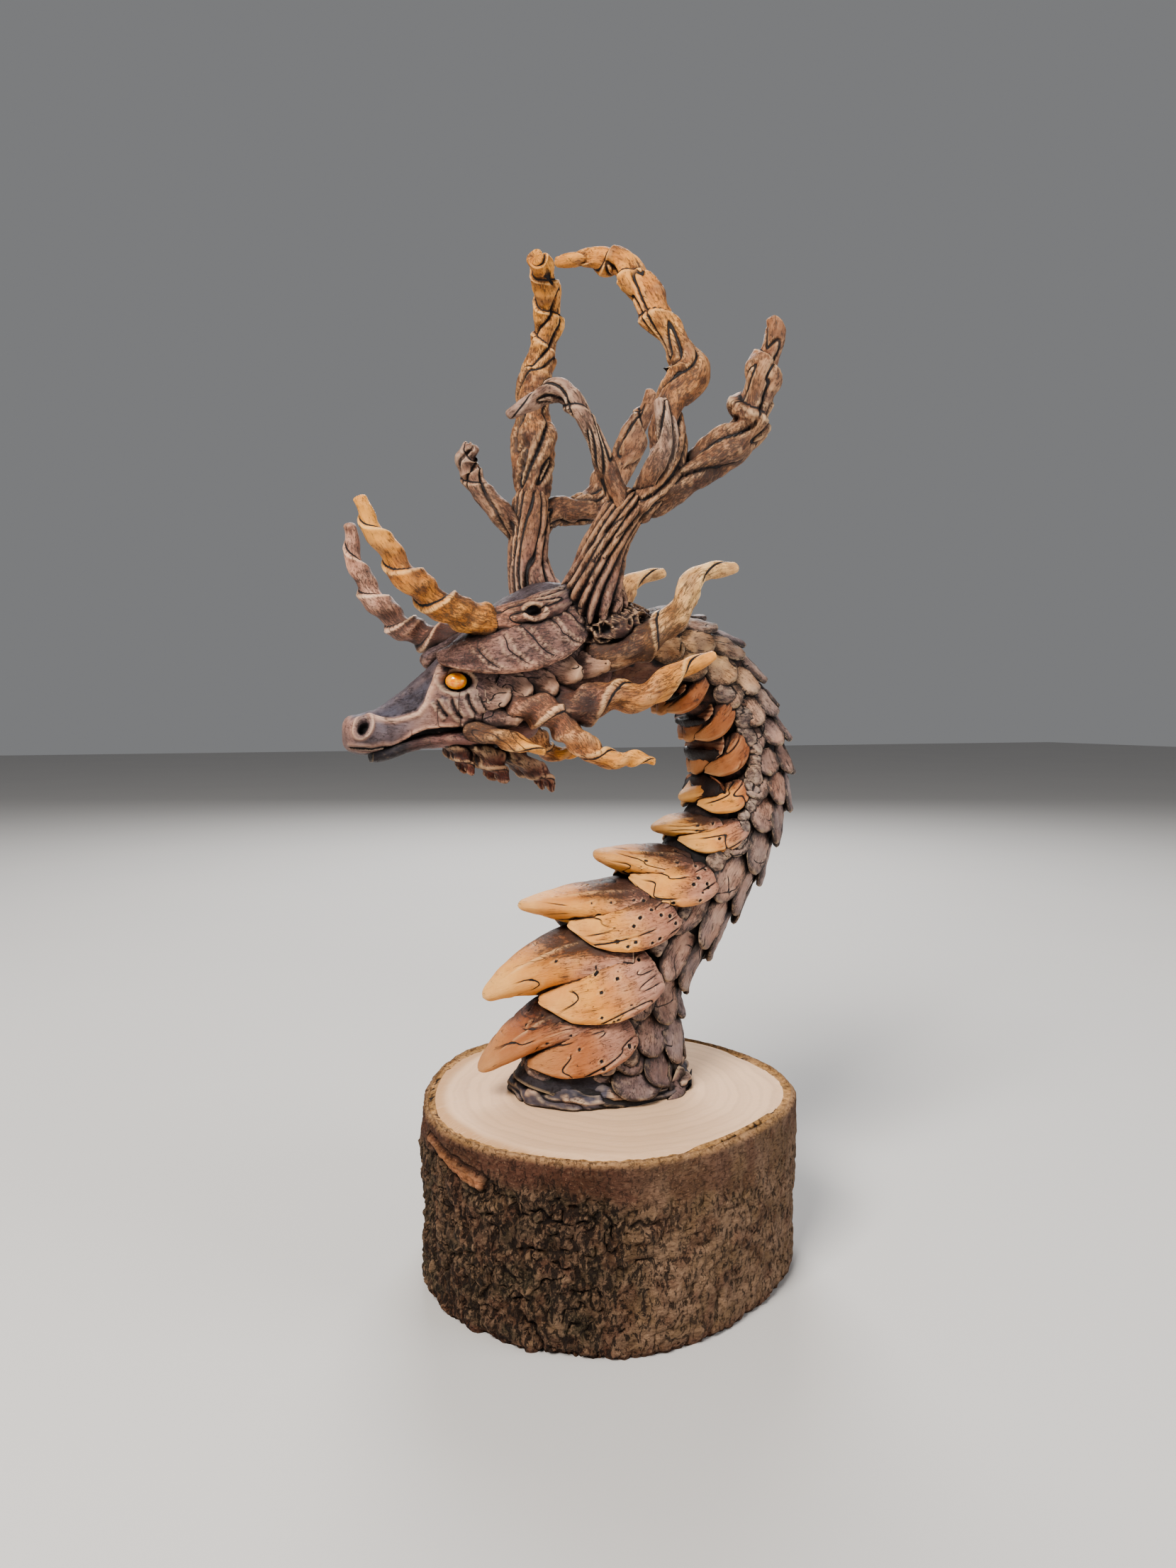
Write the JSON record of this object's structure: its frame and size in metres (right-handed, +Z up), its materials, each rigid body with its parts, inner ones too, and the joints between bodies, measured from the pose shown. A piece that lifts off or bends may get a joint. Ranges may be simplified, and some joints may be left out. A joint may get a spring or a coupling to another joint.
{
  "type": "dragon sculpture",
  "caption": "Clay dragon's head and neck with antlers, horns, back scales and pointed belly plates, rising from a slice of a log; a desk or shelf figure.",
  "frame": {"origin": "middle of the log's underside, where it stands", "axes": "+Z up; the dragon faces -X, and its left side, which the picture shows, is -Y"},
  "size_m": [0.1007, 0.0802, 0.2184],
  "materials": {
    "clay": "baked clay, painted dark and rubbed back to ochre on the raised parts",
    "wood": "rough brown bark, pale sawn ends",
    "amber": "glossy amber"
  },
  "bodies": {
    "root": {"log_plinth": "wood", "dragon": "clay", "eye_left": "amber", "eye_right": "amber"}
  },
  "joints": []
}
